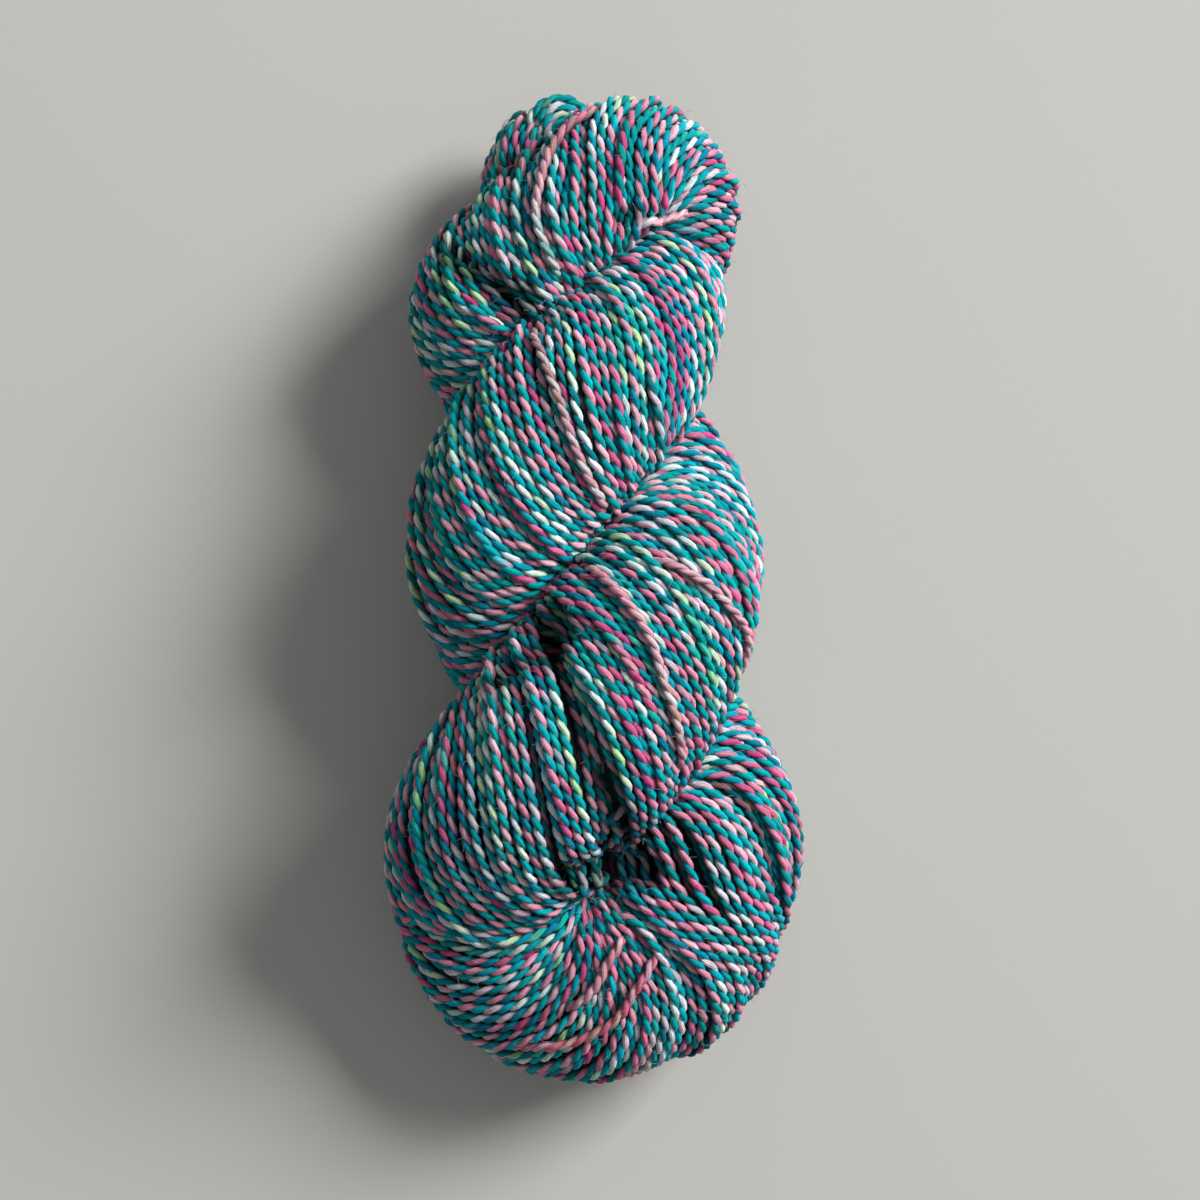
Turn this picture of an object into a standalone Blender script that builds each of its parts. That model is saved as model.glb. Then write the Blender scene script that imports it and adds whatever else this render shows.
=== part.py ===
"""A skein of two-ply wool yarn, twisted into a hank and lying flat: one solid of its wound form.

The skein is a ring of yarn about 1.7 m round. It is twisted until it is a tight S-laid bundle, then
folded in half at the foot, where the two halves wrap round each other the other way as a Z-laid rope.
At the head one end of the ring is tucked through the other. Lengths are in millimetres until the last
step, +Y runs from the foot to the head, +Z is up, and the underside rests on Z = 0.
"""

import math
from collections import namedtuple

import bmesh
import bpy
import numpy as np

# The two halves as a rope, from the foot fold up: height along the hank, the rope's middle line, how far
# the first half has gone round it in degrees, how far each half's middle is from it, and the half's own
# reach to its sides, away from the rope's middle and towards it.
Rope = namedtuple("Rope", "height middle turn spread side out inner")
ROPE = (
    Rope(-78.0, -1.5, 366, 25.5, 26.5, 27.0, 25.5),
    Rope(-65.0, -0.5, 342, 26.5, 29.0, 29.0, 24.5),
    Rope(-46.0, 0.5, 301, 22.5, 30.0, 27.5, 21.5),
    Rope(-26.0, 0.5, 262, 19.5, 29.5, 26.5, 19.5),
    Rope(-8.0, -1.0, 224, 19.0, 27.5, 26.5, 19.0),
    Rope(10.0, -3.0, 180, 19.5, 27.0, 26.0, 19.0),
    Rope(28.0, -4.5, 136, 18.0, 26.5, 25.0, 18.0),
    Rope(45.5, -6.0, 92, 16.5, 26.0, 23.5, 17.5),
)

# Above the rope each half finds its own way: its middle, the point it curls round, and its reach.
End = namedtuple("End", "x y z hub_x hub_y side out inner")
TUCKED_END = (
    End(-10.5, 122.5, 2.0, -2.0, 112.5, 6.5, 6.5, 6.5),
    End(-15.0, 116.0, -1.0, -2.0, 110.0, 10.5, 10.5, 9.0),
    End(-15.5, 107.5, -7.0, 1.0, 104.5, 14.5, 14.0, 12.0),
    End(-6.0, 100.5, -14.0, 1.0, 98.0, 17.5, 16.5, 13.0),
    End(6.0, 91.5, -13.0, 2.0, 90.0, 20.0, 18.5, 14.5),
    End(11.5, 78.0, -3.0, -2.0, 78.5, 22.5, 21.0, 16.0),
    End(7.0, 62.5, 9.5, -5.5, 62.5, 24.5, 22.5, 17.0),
)
LOOPED_END = (
    End(-21.0, 61.5, -10.0, -6.5, 62.5, 23.5, 22.5, 17.0),
    End(-25.0, 75.5, 1.5, -6.0, 77.0, 22.0, 22.5, 17.0),
    End(-14.5, 90.0, 11.0, -1.0, 88.0, 20.0, 20.0, 16.0),
    End(-3.0, 102.5, 15.0, 3.5, 95.5, 18.5, 18.0, 15.0),
    End(7.5, 111.5, 11.5, 9.0, 97.5, 17.0, 17.5, 14.5),
    End(18.5, 109.0, 4.0, 9.0, 97.5, 15.0, 15.0, 14.5),
    End(22.5, 98.0, -4.0, 9.5, 95.5, 14.5, 14.5, 13.5),
    End(19.0, 86.0, -12.0, 8.5, 91.5, 12.5, 12.5, 12.0),
    End(8.5, 78.5, -16.0, 3.5, 83.5, 8.0, 8.0, 8.0),
)

# How fast the bundle is twisted, in radians for each millimetre, at places along it from the tucked end.
Lay = namedtuple("Lay", "along rate")
LAY = (
    Lay(0, 0.085),
    Lay(110, 0.092),
    Lay(230, 0.092),
    Lay(275, 0.062),
    Lay(320, 0.060),
    Lay(370, 0.088),
    Lay(440, 0.094),
    Lay(650, 0.090),
)

# Where the bundle parts between its strands: place along it, angle round it in degrees, and the crease's
# length, depth and width.
Crease = namedtuple("Crease", "along around length depth width")
CREASES = (
    Crease(130, 130, 22, 3.0, 16),
    Crease(402, 228, 25, 4.0, 16),
    Crease(286, 85, 20, 4.5, 14),
)

# How far the soft hank sags below its thickest stretch, by height along it, so that it lies along its length.
Sag = namedtuple("Sag", "height drop")
SAG = (
    Sag(-130, 12.0),
    Sag(-105, 12.0),
    Sag(-80, 8.5),
    Sag(-55, 3.0),
    Sag(-25, 0.0),
    Sag(5, 0.5),
    Sag(45, 5.0),
    Sag(75, 8.0),
    Sag(100, 11.5),
    Sag(130, 15.0),
)

FOLD_ROWS = 5  # rows between the two halves at the foot fold
SQUASH = 0.72  # how far the hank has settled under its own weight: its height over a round rope's
SUNK = 3.0  # how much of the underside has pressed flat on the surface
REST_RIM = 0.5  # the underside within this of the surface lies on it

SECTION_STEP = 2.0
AROUND = 56
CAP_LENGTH = 6.0  # over which each end of the bundle rounds off
VOXEL = 1.3
SOFTENING = 6  # passes that take the voxels' steps off
TRIANGLES = 9000
MM = 0.001

WOOL_TEAL = (0.05, 0.30, 0.31)


def clear_scene():
    for ob in list(bpy.data.objects):
        bpy.data.objects.remove(ob, do_unlink=True)


def through_rows(places, rows, at):
    """The smooth line through every row, read at these places along it."""
    gap = np.diff(places)[:, None]
    slope = np.diff(rows, axis=0) / gap
    lean = np.empty_like(rows)
    lean[1:-1] = (slope[:-1] * gap[1:] + slope[1:] * gap[:-1]) / (gap[1:] + gap[:-1])
    lean[0] = slope[0]
    lean[-1] = slope[-1]
    i = np.clip(np.searchsorted(places, at, side="right") - 1, 0, len(places) - 2)
    width = gap[i]
    u = (at - places[i])[:, None] / width
    start = (1 + 2 * u) * (1 - u) ** 2 * rows[i] + u * (1 - u) ** 2 * width * lean[i]
    finish = u**2 * (3 - 2 * u) * rows[i + 1] + u**2 * (u - 1) * width * lean[i + 1]
    return start + finish


def rope_row(row, half_turn):
    """One half of the rope at one height: its middle, its hub and its reach."""
    angle = math.radians(row.turn + half_turn)
    x = row.middle + row.spread * math.cos(angle)
    z = row.spread * math.sin(angle)
    return (x, row.height, z, row.middle, row.height, row.side, row.out, row.inner)


def fold_rows(last, first):
    """A half circle below the rope, from the end of the first half to the start of the second."""
    last = np.array(last)
    first = np.array(first)
    middle = (last + first) / 2
    arm = (last - first)[:3] / 2
    drop = np.array((0.0, -np.linalg.norm(arm), 0.0))
    rows = []
    for k in range(1, FOLD_ROWS + 1):
        angle = math.pi * k / (FOLD_ROWS + 1)
        row = middle.copy()
        row[:3] += math.cos(angle) * arm + math.sin(angle) * drop
        rows.append(tuple(row))
    return rows


def bundle_rows():
    """Every row of the bundle from the tucked end, down the first half, round the fold and up the other."""
    down = [rope_row(row, 0) for row in reversed(ROPE)]
    up = [rope_row(row, 180) for row in ROPE]
    rows = [*TUCKED_END, *down, *fold_rows(down[-1], up[0]), *up, *LOOPED_END]
    return np.array([tuple(row) for row in rows], float)


def run_along(points):
    """Each point's distance along the line of points."""
    return np.concatenate([[0.0], np.cumsum(np.linalg.norm(np.diff(points, axis=0), axis=1))])


def square_to(vectors, tangent):
    """The vectors with what runs along the tangent taken out, at length 1."""
    flat = vectors - (vectors * tangent).sum(1)[:, None] * tangent
    return flat / np.linalg.norm(flat, axis=1)[:, None]


def follow_bundle(step):
    """The bundle's middle line, its outward and sideways directions, its reach and its twist, step by step."""
    rows = bundle_rows()
    places = run_along(rows[:, :3])
    fine = through_rows(places, rows, np.linspace(0, places[-1], 3000))
    run = run_along(fine[:, :3])
    along = np.linspace(0, run[-1], int(run[-1] / step) + 1)
    values = np.column_stack([np.interp(along, run, column) for column in fine.T])
    centre = values[:, :3]
    hub = np.column_stack([values[:, 3:5], np.zeros(len(along))])
    tangent = np.gradient(centre, axis=0)
    tangent /= np.linalg.norm(tangent, axis=1)[:, None]
    out = square_to(centre - hub, tangent)
    across = np.cross(tangent, out)
    carried_out = square_to(out[:-1], tangent[1:])
    carried_across = square_to(across[:-1], tangent[1:])
    drift = np.arctan2((out[1:] * carried_across).sum(1), (out[1:] * carried_out).sum(1))
    rate = np.interp(along, [row.along for row in LAY], [row.rate for row in LAY])
    twist = np.concatenate([[0.0], np.cumsum(rate[1:] * np.diff(along) + drift)])
    return along, centre, out, across, values[:, 5:8], -twist


def crease_depth(along, around):
    """How far the skin dips at this place along and angle round the bundle."""
    depth = np.zeros(np.broadcast(along, around).shape)
    for crease in CREASES:
        off = np.angle(np.exp(1j * (around - math.radians(crease.around)))) / math.radians(crease.width)
        far = (along - crease.along) / crease.length
        depth += crease.depth * np.exp(-(off**2) - far**2)
    return depth


def bundle_skin():
    """Rings of points round the bundle, each point keeping to one strand of the twist."""
    along, centre, out, across, reach, roll = follow_bundle(SECTION_STEP)
    around = 2 * math.pi * np.arange(AROUND)[None, :] / AROUND
    angle = around + roll[:, None]
    side, outer, inner = [column[:, None] for column in reach.T]
    facing = np.where(np.cos(angle) > 0, outer, inner)
    radius = 1 / np.sqrt((np.cos(angle) / facing) ** 2 + (np.sin(angle) / side) ** 2)
    radius -= crease_depth(along[:, None], around)
    to_end = np.minimum(along, along[-1] - along)
    rounding = 1 - np.clip(to_end / CAP_LENGTH, 0, 1)
    radius *= np.sqrt(1 - rounding**2)[:, None]
    radial = np.cos(angle)[..., None] * out[:, None] + np.sin(angle)[..., None] * across[:, None]
    return centre[:, None] + radius[..., None] * radial


def skin_mesh(rings):
    """The rings joined into one tube, drawn to a point at each end."""
    bm = bmesh.new()
    tips = [bm.verts.new(rings[0].mean(0)), bm.verts.new(rings[-1].mean(0))]
    loops = [[bm.verts.new(point) for point in ring] for ring in rings[1:-1]]
    for near, far in zip(loops, loops[1:]):
        for k in range(AROUND):
            after = (k + 1) % AROUND
            bm.faces.new((near[k], near[after], far[after], far[k]))
    for k in range(AROUND):
        after = (k + 1) % AROUND
        bm.faces.new((tips[0], loops[0][after], loops[0][k]))
        bm.faces.new((tips[1], loops[-1][k], loops[-1][after]))
    bmesh.ops.recalc_face_normals(bm, faces=bm.faces)
    mesh = bpy.data.meshes.new("bundle_skin")
    bm.to_mesh(mesh)
    bm.free()
    return mesh


def with_modifiers(mesh, settings):
    """A new mesh: this one with the modifiers of the settings, each a type and its values."""
    ob = bpy.data.objects.new("working", mesh)
    bpy.context.scene.collection.objects.link(ob)
    for kind, values in settings:
        modifier = ob.modifiers.new(kind.title(), kind)
        for name, value in values.items():
            setattr(modifier, name, value)
    evaluated = ob.evaluated_get(bpy.context.evaluated_depsgraph_get())
    result = bpy.data.meshes.new_from_object(evaluated)
    bpy.data.objects.remove(ob, do_unlink=True)
    bpy.data.meshes.remove(mesh)
    return result


def move_points(mesh, change):
    """Puts every point of the mesh through a change that takes and gives an array of points."""
    points = np.empty(len(mesh.vertices) * 3)
    mesh.vertices.foreach_get("co", points)
    mesh.vertices.foreach_set("co", change(points.reshape(-1, 3)).ravel())
    mesh.update()


def settle(points):
    """The round rope sinks to its resting height, and what would go through the surface lies flat on it."""
    rows = np.array(SAG)
    drop = through_rows(rows[:, 0], rows[:, 1:], points[:, 1])[:, 0]
    settled = points.copy()
    settled[:, 2] = points[:, 2] * SQUASH - drop
    low = settled[:, 2].min() + SUNK
    settled[:, 2] = np.maximum(settled[:, 2] - low, 0.0)
    return settled


def lay_flat(points):
    """The underside lies on Z = 0, the hank's box is centred on the origin, and sizes become metres."""
    laid = points.copy()
    laid[:, 2] -= laid[:, 2].min()
    laid[laid[:, 2] < REST_RIM, 2] = 0.0
    laid[:, :2] -= (laid[:, :2].min(0) + laid[:, :2].max(0)) / 2
    return laid * MM


def keep_outer_body(mesh):
    """Removes every loose shell but the largest."""
    bm = bmesh.new()
    bm.from_mesh(mesh)
    left = set(bm.verts)
    shells = []
    while left:
        shell = {left.pop()}
        edge_of_shell = list(shell)
        while edge_of_shell:
            near = {edge.other_vert(vert) for vert in edge_of_shell for edge in vert.link_edges}
            edge_of_shell = list(near & left)
            left.difference_update(edge_of_shell)
            shell.update(edge_of_shell)
        shells.append(shell)
    shells.sort(key=len)
    inner = [vert for shell in shells[:-1] for vert in shell]
    bmesh.ops.delete(bm, geom=inner, context="VERTS")
    bm.to_mesh(mesh)
    bm.free()


def hank_mesh():
    """The wound form as one closed body under the triangle budget."""
    remesh = {"mode": "VOXEL", "voxel_size": VOXEL}
    smooth = {"factor": 0.5, "iterations": SOFTENING}
    body = with_modifiers(skin_mesh(bundle_skin()), [("REMESH", remesh), ("SMOOTH", smooth)])
    keep_outer_body(body)
    move_points(body, settle)
    count = sum(len(face.vertices) - 2 for face in body.polygons)
    thin_out = {"ratio": TRIANGLES / count, "use_collapse_triangulate": True}
    body = with_modifiers(body, [("DECIMATE", thin_out)])
    move_points(body, lay_flat)
    body.name = "yarn_hank"
    return body


def wool():
    """Dyed wool, matt, in the teal that the yarn's colours average to."""
    material = bpy.data.materials.new("dyed_wool")
    material.use_nodes = True
    shader = material.node_tree.nodes["Principled BSDF"]
    shader.inputs["Base Color"].default_value = (*WOOL_TEAL, 1.0)
    shader.inputs["Roughness"].default_value = 0.9
    shader.inputs["Metallic"].default_value = 0.0
    return material


clear_scene()
hank = bpy.data.objects.new("yarn_hank", hank_mesh())
bpy.context.scene.collection.objects.link(hank)
hank.data.materials.clear()
hank.data.materials.append(wool())
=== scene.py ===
# %% [markdown]
# # A skein of two-ply wool
# A skein is one long yarn, reeled into a ring, twisted until it is tight, and folded so that its two
# halves wrap round each other. The frame gives the plain solid of that form. This lesson lays the real
# strands over it: each strand follows the twist, then gives way to its neighbours, then is spun from two
# plies by Geometry Nodes. Lengths are in millimetres until a mesh is made.

# %% Load the frame
import math
from collections import namedtuple
from functools import partial

import bpy
import numpy as np
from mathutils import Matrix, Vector


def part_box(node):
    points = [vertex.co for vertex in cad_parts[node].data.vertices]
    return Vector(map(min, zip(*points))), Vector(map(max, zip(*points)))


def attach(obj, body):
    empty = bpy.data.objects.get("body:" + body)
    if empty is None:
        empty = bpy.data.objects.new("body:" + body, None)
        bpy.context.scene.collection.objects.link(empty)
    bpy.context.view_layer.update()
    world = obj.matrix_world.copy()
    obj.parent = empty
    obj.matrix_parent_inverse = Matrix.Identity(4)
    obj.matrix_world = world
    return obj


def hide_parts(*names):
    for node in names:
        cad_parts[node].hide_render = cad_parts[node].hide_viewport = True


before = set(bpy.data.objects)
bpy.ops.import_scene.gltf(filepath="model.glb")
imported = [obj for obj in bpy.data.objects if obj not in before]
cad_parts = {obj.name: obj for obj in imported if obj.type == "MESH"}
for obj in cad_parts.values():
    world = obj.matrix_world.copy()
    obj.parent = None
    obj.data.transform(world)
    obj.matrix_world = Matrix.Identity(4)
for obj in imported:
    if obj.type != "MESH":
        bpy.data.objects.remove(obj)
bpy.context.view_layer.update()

NODE = "yarn_hank"
MM = 0.001
node_box = np.array([list(corner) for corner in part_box(NODE)]) / MM
print("the solid's box in mm", node_box.round(1).tolist())

# %% [markdown]
# ## The hank's form
# Real strands run along the twisted bundle, so the first thing to know is the bundle's own path. It goes
# down one half of the rope from the tucked end, round the fold at the foot, and up the other half to the
# looped end. Each row of a table says where the bundle is and how thick; a smooth line joins the rows.
# The solid was built from the same rows of the rope and its ends, so the strands land on it.

# %% The rows of the rope and of its two ends
Rope = namedtuple("Rope", "height middle turn spread side out inner")
ROPE = (
    Rope(-78.0, -1.5, 366, 25.5, 26.5, 27.0, 25.5),
    Rope(-65.0, -0.5, 342, 26.5, 29.0, 29.0, 24.5),
    Rope(-46.0, 0.5, 301, 22.5, 30.0, 27.5, 21.5),
    Rope(-26.0, 0.5, 262, 19.5, 29.5, 26.5, 19.5),
    Rope(-8.0, -1.0, 224, 19.0, 27.5, 26.5, 19.0),
    Rope(10.0, -3.0, 180, 19.5, 27.0, 26.0, 19.0),
    Rope(28.0, -4.5, 136, 18.0, 26.5, 25.0, 18.0),
    Rope(45.5, -6.0, 92, 16.5, 26.0, 23.5, 17.5),
)
End = namedtuple("End", "x y z hub_x hub_y side out inner")
TUCKED_END = (
    End(-10.5, 122.5, 2.0, -2.0, 112.5, 6.5, 6.5, 6.5),
    End(-15.0, 116.0, -1.0, -2.0, 110.0, 10.5, 10.5, 9.0),
    End(-15.5, 107.5, -7.0, 1.0, 104.5, 14.5, 14.0, 12.0),
    End(-6.0, 100.5, -14.0, 1.0, 98.0, 17.5, 16.5, 13.0),
    End(6.0, 91.5, -13.0, 2.0, 90.0, 20.0, 18.5, 14.5),
    End(11.5, 78.0, -3.0, -2.0, 78.5, 22.5, 21.0, 16.0),
    End(7.0, 62.5, 9.5, -5.5, 62.5, 24.5, 22.5, 17.0),
)
LOOPED_END = (
    End(-21.0, 61.5, -10.0, -6.5, 62.5, 23.5, 22.5, 17.0),
    End(-25.0, 75.5, 1.5, -6.0, 77.0, 22.0, 22.5, 17.0),
    End(-14.5, 90.0, 11.0, -1.0, 88.0, 20.0, 20.0, 16.0),
    End(-3.0, 102.5, 15.0, 3.5, 95.5, 18.5, 18.0, 15.0),
    End(7.5, 111.5, 11.5, 9.0, 97.5, 17.0, 17.5, 14.5),
    End(18.5, 109.0, 4.0, 9.0, 97.5, 15.0, 15.0, 14.5),
    End(22.5, 98.0, -4.0, 9.5, 95.5, 14.5, 14.5, 13.5),
    End(19.0, 86.0, -12.0, 8.5, 91.5, 12.5, 12.5, 12.0),
    End(8.5, 78.5, -16.0, 3.5, 83.5, 8.0, 8.0, 8.0),
)
FOLD_ROWS = 5
print(len(ROPE), "rows of rope,", len(TUCKED_END) + len(LOOPED_END), "rows of ends")

# %% How tightly the bundle is twisted, where it parts, and how it sags
# The twist and the creases are finer here than on the solid, as strands show both more plainly.
Lay = namedtuple("Lay", "along rate")
LAY = (
    Lay(0, 0.085),
    Lay(75, 0.086),
    Lay(94, 0.070),
    Lay(112, 0.080),
    Lay(130, 0.092),
    Lay(230, 0.092),
    Lay(262, 0.075),
    Lay(280, 0.100),
    Lay(298, 0.100),
    Lay(314, 0.062),
    Lay(345, 0.075),
    Lay(375, 0.070),
    Lay(400, 0.068),
    Lay(420, 0.088),
    Lay(440, 0.094),
    Lay(535, 0.091),
    Lay(545, 0.230),
    Lay(561, 0.230),
    Lay(571, 0.092),
    Lay(650, 0.090),
)
Crease = namedtuple("Crease", "along around length depth width")
CREASES = (
    Crease(130, 85, 22, 3.0, 16),
    Crease(402, 225, 32, 8.0, 15),
    Crease(286, 82, 20, 4.5, 14),
    Crease(560, 375, 7, 5.0, 50),
)
Sag = namedtuple("Sag", "height drop")
SAG = (
    Sag(-130, 12.0),
    Sag(-105, 12.0),
    Sag(-80, 8.5),
    Sag(-55, 3.0),
    Sag(-25, 0.0),
    Sag(5, 0.5),
    Sag(45, 5.0),
    Sag(75, 8.0),
    Sag(100, 11.5),
    Sag(130, 15.0),
)
Hollow = namedtuple("Hollow", "x y end_x end_y radius")
HOLLOWS = (
    Hollow(-11.0, -10.5, -12.5, -15.5, 4.8),
    Hollow(-16.0, -17.0, -26.0, -24.5, 1.8),
    Hollow(-20.5, 73.5, -23.0, 75.5, 4.2),
    Hollow(-26.0, 78.0, -38.0, 86.0, 2.4),
    Hollow(9.0, 97.0, 6.0, 95.5, 2.0),
    Hollow(-5.0, -73.0, 12.0, -72.0, 4.2),
    Hollow(2.0, -47.0, 10.5, -66.0, 2.6),
    Hollow(-22.5, 110.5, -23.0, 109.0, 2.4),
)
HOLLOW_FLOOR = 14.0  # mm above the surface, below which a hollow has closed
SQUASH = 0.72
SUNK = 3.0


# %% [markdown]
# ## The bundle's path
# A line through rows needs a slope at each row; weighing the two neighbouring slopes gives a curve that
# doesn't overshoot. Along it go three directions: the way the bundle runs, the way out from the rope's
# middle, and the way across. The roll says how far the twist has carried a strand round by each place.

# %% A smooth line through the rows
def through_rows(places, rows, at):
    """The smooth line through every row, read at these places along it."""
    gap = np.diff(places)[:, None]
    slope = np.diff(rows, axis=0) / gap
    lean = np.empty_like(rows)
    lean[1:-1] = (slope[:-1] * gap[1:] + slope[1:] * gap[:-1]) / (gap[1:] + gap[:-1])
    lean[0] = slope[0]
    lean[-1] = slope[-1]
    i = np.clip(np.searchsorted(places, at, side="right") - 1, 0, len(places) - 2)
    width = gap[i]
    u = (at - places[i])[:, None] / width
    start = (1 + 2 * u) * (1 - u) ** 2 * rows[i] + u * (1 - u) ** 2 * width * lean[i]
    finish = u**2 * (3 - 2 * u) * rows[i + 1] + u**2 * (u - 1) * width * lean[i + 1]
    return start + finish


def rope_row(row, half_turn):
    """One half of the rope at one height: its middle, its hub and its reach."""
    angle = math.radians(row.turn + half_turn)
    x = row.middle + row.spread * math.cos(angle)
    z = row.spread * math.sin(angle)
    return (x, row.height, z, row.middle, row.height, row.side, row.out, row.inner)


def fold_rows(last, first):
    """A half circle below the rope, from the end of the first half to the start of the second."""
    last = np.array(last)
    first = np.array(first)
    middle = (last + first) / 2
    arm = (last - first)[:3] / 2
    drop = np.array((0.0, -np.linalg.norm(arm), 0.0))
    rows = []
    for k in range(1, FOLD_ROWS + 1):
        angle = math.pi * k / (FOLD_ROWS + 1)
        row = middle.copy()
        row[:3] += math.cos(angle) * arm + math.sin(angle) * drop
        rows.append(tuple(row))
    return rows


# %% The bundle, step by step
STEP = 1.0
Bundle = namedtuple("Bundle", "along centre out across reach roll")


def run_along(points):
    """Each point's distance along the line of points."""
    return np.concatenate([[0.0], np.cumsum(np.linalg.norm(np.diff(points, axis=0), axis=1))])


def square_to(vectors, tangent):
    """The vectors with what runs along the tangent taken out, at length 1."""
    flat = vectors - (vectors * tangent).sum(1)[:, None] * tangent
    return flat / np.linalg.norm(flat, axis=1)[:, None]


def follow_bundle():
    """The bundle's middle line with its directions, reach and twist."""
    down = [rope_row(row, 0) for row in reversed(ROPE)]
    up = [rope_row(row, 180) for row in ROPE]
    rows = np.array([*TUCKED_END, *down, *fold_rows(down[-1], up[0]), *up, *LOOPED_END], float)
    places = run_along(rows[:, :3])
    fine = through_rows(places, rows, np.linspace(0, places[-1], 3000))
    run = run_along(fine[:, :3])
    along = np.linspace(0, run[-1], int(run[-1] / STEP) + 1)
    values = np.column_stack([np.interp(along, run, column) for column in fine.T])
    centre = values[:, :3]
    hub = np.column_stack([values[:, 3:5], np.zeros(len(along))])
    tangent = np.gradient(centre, axis=0)
    tangent /= np.linalg.norm(tangent, axis=1)[:, None]
    out = square_to(centre - hub, tangent)
    across = np.cross(tangent, out)
    carried_out = square_to(out[:-1], tangent[1:])
    carried_across = square_to(across[:-1], tangent[1:])
    drift = np.arctan2((out[1:] * carried_across).sum(1), (out[1:] * carried_out).sum(1))
    rate = np.interp(along, [row.along for row in LAY], [row.rate for row in LAY])
    twist = np.concatenate([[0.0], np.cumsum(rate[1:] * np.diff(along) + drift)])
    return Bundle(along, centre, out, across, values[:, 5:8], -twist)


bundle = follow_bundle()
turns = -bundle.roll[-1] / math.tau
print("the bundle is", round(bundle.along[-1]), "mm long and makes", round(turns, 1), "turns")


# %% [markdown]
# ## Strands on the bundle
# A strand keeps its angle round the bundle while the bundle rolls, which is what twisting does to it.
# Where the bundle parts, the strands dip into a crease. The whole form is then settled: it is squashed
# by its own weight, sags where it is thin, and stands on the surface.

# %% Where a strand lies
def reach_at(reach, angle):
    """How far the bundle reaches from its middle in one direction: more outwards than inwards."""
    side, outer, inner = reach[..., 0], reach[..., 1], reach[..., 2]
    facing = np.where(np.cos(angle) > 0, outer, inner)
    return 1 / np.sqrt((np.cos(angle) / facing) ** 2 + (np.sin(angle) / side) ** 2)


def crease_depth(along, around):
    """How far the skin dips at this place along and angle round the bundle."""
    depth = np.zeros(np.broadcast(along, around).shape)
    for crease in CREASES:
        off = np.angle(np.exp(1j * (around - math.radians(crease.around)))) / math.radians(crease.width)
        far = (along - crease.along) / crease.length
        depth += crease.depth * np.exp(-(off**2) - far**2)
    return depth


TIP_LENGTH = 8.0  # mm over which the bundle's two ends close to a rounded tip
CLOSED = 0.3  # mm from the middle line, the least that a strand's place can be


def on_bundle(along, around, depth):
    """Points at these places along, angles round and depths under the skin, and which way is out."""
    at = np.broadcast_to(along, np.broadcast(along, around).shape)
    take = [np.interp(at.ravel(), bundle.along, column) for part in bundle[1:5] for column in part.T]
    take = np.stack(take, 1).reshape(*at.shape, 12)
    centre, out, across, reach = take[..., :3], take[..., 3:6], take[..., 6:9], take[..., 9:]
    angle = around + np.interp(at, bundle.along, bundle.roll)
    from_tip = np.minimum(at, bundle.along[-1] - at) / TIP_LENGTH
    rounding = np.sqrt(np.clip(1 - np.clip(1 - from_tip, 0, 1) ** 2, 0, 1))
    radius = rounding * reach_at(reach, angle) - crease_depth(at, around) - depth
    radius = np.maximum(radius, CLOSED)
    outward = np.cos(angle)[..., None] * out + np.sin(angle)[..., None] * across
    return centre + radius[..., None] * outward, outward


def settled(points):
    """Points of the round rope where they come to rest."""
    rows = np.array(SAG)
    height = np.clip(points[..., 1].ravel(), rows[0, 0], rows[-1, 0])
    drop = through_rows(rows[:, 0], rows[:, 1:], height)[:, 0].reshape(points.shape[:-1])
    moved = points.copy()
    moved[..., 2] = points[..., 2] * SQUASH - drop
    return moved


AROUND = np.linspace(0, math.tau, 48, endpoint=False)
skin, _ = on_bundle(bundle.along[None, 4:-4], AROUND[:, None], 0.0)
skin = settled(skin).reshape(-1, 3)
SHIFT = np.append(node_box.mean(0)[:2] - (skin.min(0) + skin.max(0))[:2] / 2, -skin[:, 2].min() - SUNK)
print("the settled skin moves by", SHIFT.round(1).tolist(), "mm to sit in the solid's box")

# %% [markdown]
# Where lobes meet they don't quite close, and a dark hollow is left. Each hollow is a short line seen
# from above. Points near the line are moved straight away from it, by less the further off they are.

# %% Open the hollows
RIM = 1.35  # a hollow's rim dips out to this many of its radii
DIP = 0.8  # how far its middle dips, in radii


def from_hollow(points, hollow):
    """Which way the points lie from a hollow's line, how far off, and how much of it reaches their height."""
    start = np.array(hollow[:2]) + SHIFT[:2]
    run = np.array(hollow[2:4]) - np.array(hollow[:2])
    share = np.clip((points[:, :2] - start) @ run / (run @ run), 0, 1)
    arm = points[:, :2] - start - share[:, None] * run
    high = np.clip((points[:, 2] - HOLLOW_FLOOR) / HOLLOW_FLOOR, 0, 1)
    return arm, np.linalg.norm(arm, axis=1) + 1e-6, high


def opened(points):
    """The points moved clear of the hollows, and those on a rim bent down into it."""
    moved = points.copy()
    for hollow in HOLLOWS:
        arm, near, high = from_hollow(moved, hollow)
        wide = ((near**3 + hollow.radius**3) ** (1 / 3) - near) * high
        moved[:, :2] += arm * (wide / near)[:, None]
        moved[:, 2] -= DIP * hollow.radius * np.clip(RIM - near / hollow.radius, 0, 1) * high
    return moved


# Painted shade: this share darkens the wool's colour in and round each hollow, as the shade that falls there.
def shaded(points):
    """How little light reaches each point: 1 in a hollow, 0 away from all of them."""
    shade = np.zeros(len(points))
    for hollow in HOLLOWS:
        _, near, high = from_hollow(points, hollow)
        shade = np.maximum(shade, np.clip(2 * (1.6 - near / hollow.radius), 0, 1) * high)
    return shade
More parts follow.
